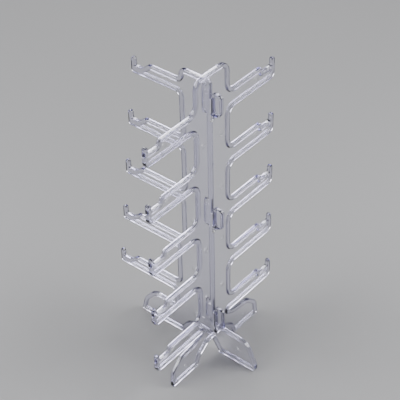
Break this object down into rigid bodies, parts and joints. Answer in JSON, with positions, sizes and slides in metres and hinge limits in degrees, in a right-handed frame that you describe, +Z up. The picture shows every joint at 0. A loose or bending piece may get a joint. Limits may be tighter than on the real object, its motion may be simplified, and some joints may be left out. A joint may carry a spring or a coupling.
{
  "type": "eyeglass display rack",
  "caption": "Free-standing clear plastic rack: two flat frames cross at right angles, and their stepped arms cradle the nose bridge and temples of displayed glasses.",
  "frame": {"origin": "on the table, under the middle of the rack's bounding box", "axes": "+Z up; -Y is the side that the nose bridges and lenses face; the temple frame lies in the XZ plane and spreads along X; the nose frame lies in the YZ plane"},
  "size_m": [0.1762, 0.1725, 0.3291],
  "materials": {
    "clear_plastic": "clear injection-moulded plastic, glossy, faintly violet in thick sections"
  },
  "bodies": {
    "nose_frame": {"nose_spine": "clear_plastic", "nose_foot": "clear_plastic", "rear_foot": "clear_plastic", "nose_arm_1": "clear_plastic", "nose_arm_2": "clear_plastic", "nose_arm_3": "clear_plastic", "nose_arm_4": "clear_plastic", "nose_arm_5": "clear_plastic", "hook_lug_bottom": "clear_plastic", "hook_lug_middle": "clear_plastic", "hook_lug_top": "clear_plastic"},
    "temple_frame": {"temple_spine": "clear_plastic", "temple_foot_left": "clear_plastic", "temple_foot_right": "clear_plastic", "temple_arm_left_1": "clear_plastic", "temple_arm_left_2": "clear_plastic", "temple_arm_left_3": "clear_plastic", "temple_arm_left_4": "clear_plastic", "temple_arm_left_5": "clear_plastic", "temple_arm_right_1": "clear_plastic", "temple_arm_right_2": "clear_plastic", "temple_arm_right_3": "clear_plastic", "temple_arm_right_4": "clear_plastic", "temple_arm_right_5": "clear_plastic"}
  },
  "joints": [
    {"name": "unlock_lift", "type": "slide", "parent": "nose_frame", "child": "temple_frame", "axis": [0, 0, 1], "range_m": [0, 0.0065]}
  ]
}
